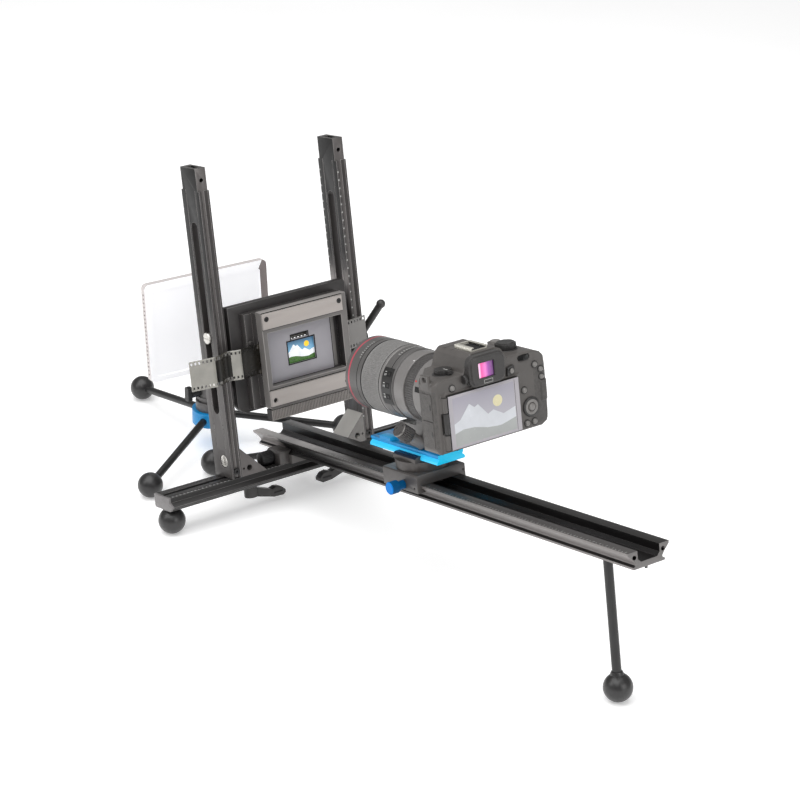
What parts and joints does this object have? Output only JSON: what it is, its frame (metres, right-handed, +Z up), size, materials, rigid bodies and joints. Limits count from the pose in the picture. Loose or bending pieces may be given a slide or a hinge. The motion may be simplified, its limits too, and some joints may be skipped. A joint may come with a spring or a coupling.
{
  "type": "slide duplicator",
  "caption": "Film copying bench: a tilted dovetail rail carries a camera facing a film gate between two slotted uprights, lit from behind by a panel lamp on a small tripod.",
  "frame": {"origin": "bottom centre of the bounding box, on the surface the duplicator stands on", "axes": "+Z up, +Y along the bench from the camera toward the lamp, +X to the right seen from the camera"},
  "size_m": [0.3848, 0.971, 0.4066],
  "materials": {
    "rail_dark": "satin dark anodised",
    "upright_dark": "satin dark anodised",
    "cap_grey": "satin",
    "ball_black": "gloss",
    "rod_black": "gloss",
    "steel": "brushed",
    "knob_black": "satin",
    "lever_black": "satin",
    "carriage_dark": "satin dark anodised",
    "blue_anodised": "satin blue anodised",
    "navy_anodised": "satin navy anodised",
    "lens_grey": "matt",
    "grip_rubber": "ribbed",
    "lens_glass": "coated",
    "camera_black": "fine grained",
    "eyecup_rubber": "matt",
    "shoe_metal": "satin",
    "screen_glass": "gloss",
    "dial_black": "knurled",
    "button_grey": "satin",
    "stage_black": "satin black anodised",
    "gate_grey": "satin grey anodised",
    "bar_light": "satin clear anodised",
    "feed_grey": "fine ribbed",
    "mask_grey": "satin",
    "film": "glossy film base",
    "lamp_grey": "satin",
    "panel_white": "satin"
  },
  "bodies": {
    "base": {"cross_rail": "rail_dark", "cross_rail_end_caps": "cap_grey", "foot_balls": "ball_black", "rear_leg_rods": "rod_black", "rear_leg_balls": "ball_black", "left_upright": "upright_dark", "right_upright": "upright_dark", "left_foot_bracket": "upright_dark", "right_foot_bracket": "upright_dark", "foot_fasteners": "steel", "rail_clamp_base": "carriage_dark"},
    "left_lever": {"left_foot_lever": "lever_black"},
    "right_lever": {"right_foot_lever": "lever_black"},
    "clamp_jaw": {"rail_clamp_jaw": "carriage_dark"},
    "clamp_knob": {"rail_clamp_knob": "knob_black"},
    "bench": {"long_rail": "rail_dark", "front_leg": "rod_black", "front_leg_ball": "ball_black"},
    "carriage": {"carriage": "carriage_dark", "carriage_riser": "carriage_dark", "qr_clamp_base": "navy_anodised"},
    "carriage_knob": {"carriage_lock_knob": "blue_anodised"},
    "qr_jaw": {"qr_clamp_jaw": "navy_anodised"},
    "qr_knob": {"qr_clamp_knob": "knob_black"},
    "plate": {"qr_plate": "blue_anodised", "lens_collar": "lens_grey"},
    "collar_knob": {"collar_knob": "knob_black"},
    "camera": {"lens_barrel": "lens_grey", "front_glass": "lens_glass", "camera_body": "camera_black", "eyecup": "eyecup_rubber", "hot_shoe": "shoe_metal"},
    "focus_ring": {"focus_ring": "grip_rubber"},
    "control_ring": {"control_ring": "grip_rubber"},
    "screen": {"camera_screen": "screen_glass"},
    "mode_dial": {"mode_dial": "dial_black"},
    "thumb_dial": {"thumb_dial": "dial_black"},
    "rear_dial": {"rear_dial": "dial_black"},
    "set_button": {"set_button": "button_grey"},
    "back_buttons": {"back_buttons": "button_grey"},
    "shutter_button": {"shutter_button": "button_grey"},
    "power_switch": {"power_switch": "dial_black"},
    "stage": {"stage_rear_frame": "stage_black", "stage_tunnel": "stage_black", "gate_frame": "gate_grey", "gate_bars": "bar_light", "gate_feed_bar": "feed_grey", "film_mask": "mask_grey", "gate_screws": "steel", "stage_screws": "steel"},
    "stage_lever": {"stage_lever": "lever_black"},
    "film": {"film_strip": "film"},
    "lamp_base": {"light_hub": "blue_anodised", "light_legs": "rod_black", "light_balls": "ball_black", "light_column": "lamp_grey"},
    "lamp_pan": {"light_pan_head": "lamp_grey"},
    "lamp_head": {"light_head": "lamp_grey", "light_panel": "panel_white"},
    "lamp_knob": {"head_knob": "knob_black"}
  },
  "joints": [
    {"name": "left_foot_lever_turn", "type": "hinge", "parent": "base", "child": "left_lever", "pos_m": [-0.069, 0.13298, 0.02216], "axis": [0, 0.1821, 0.9833], "range_deg": [-150, 30]},
    {"name": "right_foot_lever_turn", "type": "hinge", "parent": "base", "child": "right_lever", "pos_m": [0.069, 0.13298, 0.02216], "axis": [0, 0.1821, 0.9833], "range_deg": [-30, 150]},
    {"name": "clamp_jaw_slide", "type": "slide", "parent": "base", "child": "clamp_jaw", "axis": [-1, 0, 0], "range_m": [0, 0.002]},
    {"name": "clamp_knob_turn", "type": "hinge", "parent": "clamp_jaw", "child": "clamp_knob", "pos_m": [-0.044, 0.1391, 0.0552], "axis": [-1, 0, 0], "range_deg": [0, 360]},
    {"name": "bench_slide", "type": "slide", "parent": "base", "child": "bench", "axis": [0, 0.9833, -0.1821], "range_m": [-0.025, 0]},
    {"name": "carriage_slide", "type": "slide", "parent": "bench", "child": "carriage", "axis": [0, 0.9833, -0.1821], "range_m": [-0.33, 0.105]},
    {"name": "carriage_knob_turn", "type": "hinge", "parent": "carriage", "child": "carriage_knob", "pos_m": [-0.042, -0.11853, 0.12212], "axis": [1, 0, 0], "range_deg": [-360, 360]},
    {"name": "qr_jaw_slide", "type": "slide", "parent": "carriage", "child": "qr_jaw", "axis": [1, 0, 0], "range_m": [0, 0.003]},
    {"name": "qr_knob_turn", "type": "hinge", "parent": "qr_jaw", "child": "qr_knob", "pos_m": [0.044, -0.10474, 0.14987], "axis": [1, 0, 0], "range_deg": [0, 360]},
    {"name": "plate_slide", "type": "slide", "parent": "carriage", "child": "plate", "axis": [0, 0.9833, -0.1821], "range_m": [-0.025, 0.025]},
    {"name": "collar_knob_turn", "type": "hinge", "parent": "plate", "child": "collar_knob", "pos_m": [-0.0262, -0.1208, 0.17847], "axis": [-0.76, 0.1183, 0.6391], "range_deg": [-360, 360]},
    {"name": "collar_rotate", "type": "hinge", "parent": "plate", "child": "camera", "pos_m": [0, -0.11447, 0.22917], "axis": [0, 0.9833, -0.1821], "range_deg": [-90, 90]},
    {"name": "focus_turn", "type": "hinge", "parent": "camera", "child": "focus_ring", "pos_m": [0, -0.06432, 0.21988], "axis": [0, 0.9833, -0.1821], "range_deg": [-60, 60]},
    {"name": "control_turn", "type": "hinge", "parent": "camera", "child": "control_ring", "pos_m": [0, -0.13118, 0.23226], "axis": [0, 0.9833, -0.1821], "range_deg": [-45, 45]},
    {"name": "screen_swing", "type": "hinge", "parent": "camera", "child": "screen", "pos_m": [-0.0558, -0.22377, 0.23975], "axis": [0, -0.1821, -0.9833], "range_deg": [0, 175]},
    {"name": "mode_dial_turn", "type": "hinge", "parent": "camera", "child": "mode_dial", "pos_m": [0.051, -0.18368, 0.28928], "axis": [0, 0.1821, 0.9833], "continuous": true},
    {"name": "thumb_dial_turn", "type": "hinge", "parent": "camera", "child": "thumb_dial", "pos_m": [0.0525, -0.20606, 0.28376], "axis": [0, 0.1821, 0.9833], "continuous": true},
    {"name": "rear_dial_turn", "type": "hinge", "parent": "camera", "child": "rear_dial", "pos_m": [0.0568, -0.22394, 0.23113], "axis": [0, 0.9833, -0.1821], "continuous": true},
    {"name": "set_button_press", "type": "slide", "parent": "camera", "child": "set_button", "axis": [0, 0.9833, -0.1821], "range_m": [0, 0.0008], "stiffness_N_per_m": 400},
    {"name": "back_buttons_press", "type": "slide", "parent": "camera", "child": "back_buttons", "axis": [0, 0.9833, -0.1821], "range_m": [0, 0.0006], "stiffness_N_per_m": 900},
    {"name": "shutter_press", "type": "slide", "parent": "camera", "child": "shutter_button", "axis": [0, -0.1821, -0.9833], "range_m": [0, 0.001], "stiffness_N_per_m": 400},
    {"name": "power_switch_turn", "type": "hinge", "parent": "camera", "child": "power_switch", "pos_m": [-0.037, -0.19086, 0.28348], "axis": [0, 0.1821, 0.9833], "range_deg": [-40, 0]},
    {"name": "stage_slide", "type": "slide", "parent": "base", "child": "stage", "axis": [0, 0.1821, 0.9833], "range_m": [-0.03, 0.12]},
    {"name": "stage_lever_turn", "type": "hinge", "parent": "stage", "child": "stage_lever", "pos_m": [0.104, 0.16233, 0.16419], "axis": [1, 0, 0], "range_deg": [-90, 90]},
    {"name": "film_slide", "type": "slide", "parent": "stage", "child": "film", "axis": [1, 0, 0], "range_m": [-0.006, 0.006]},
    {"name": "lamp_move", "type": "slide", "parent": "base", "child": "lamp_base", "axis": [0, 1, 0], "range_m": [-0.016, 0.1]},
    {"name": "lamp_pan_turn", "type": "hinge", "parent": "lamp_base", "child": "lamp_pan", "pos_m": [-0.0104, 0.30853, 0.07], "axis": [0, 0, 1], "continuous": true},
    {"name": "lamp_tilt", "type": "hinge", "parent": "lamp_pan", "child": "lamp_head", "pos_m": [-0.0104, 0.30853, 0.086], "axis": [1, 0, 0], "range_deg": [-30, 35]},
    {"name": "lamp_knob_turn", "type": "hinge", "parent": "lamp_pan", "child": "lamp_knob", "pos_m": [-0.046, 0.30853, 0.074], "axis": [1, 0, 0], "range_deg": [-360, 360]}
  ],
  "couplings": [
    {"joint": "clamp_jaw_slide", "follows": "clamp_knob_turn", "m_per_rad": 0.0003183},
    {"joint": "qr_jaw_slide", "follows": "qr_knob_turn", "m_per_rad": 0.00047746}
  ]
}
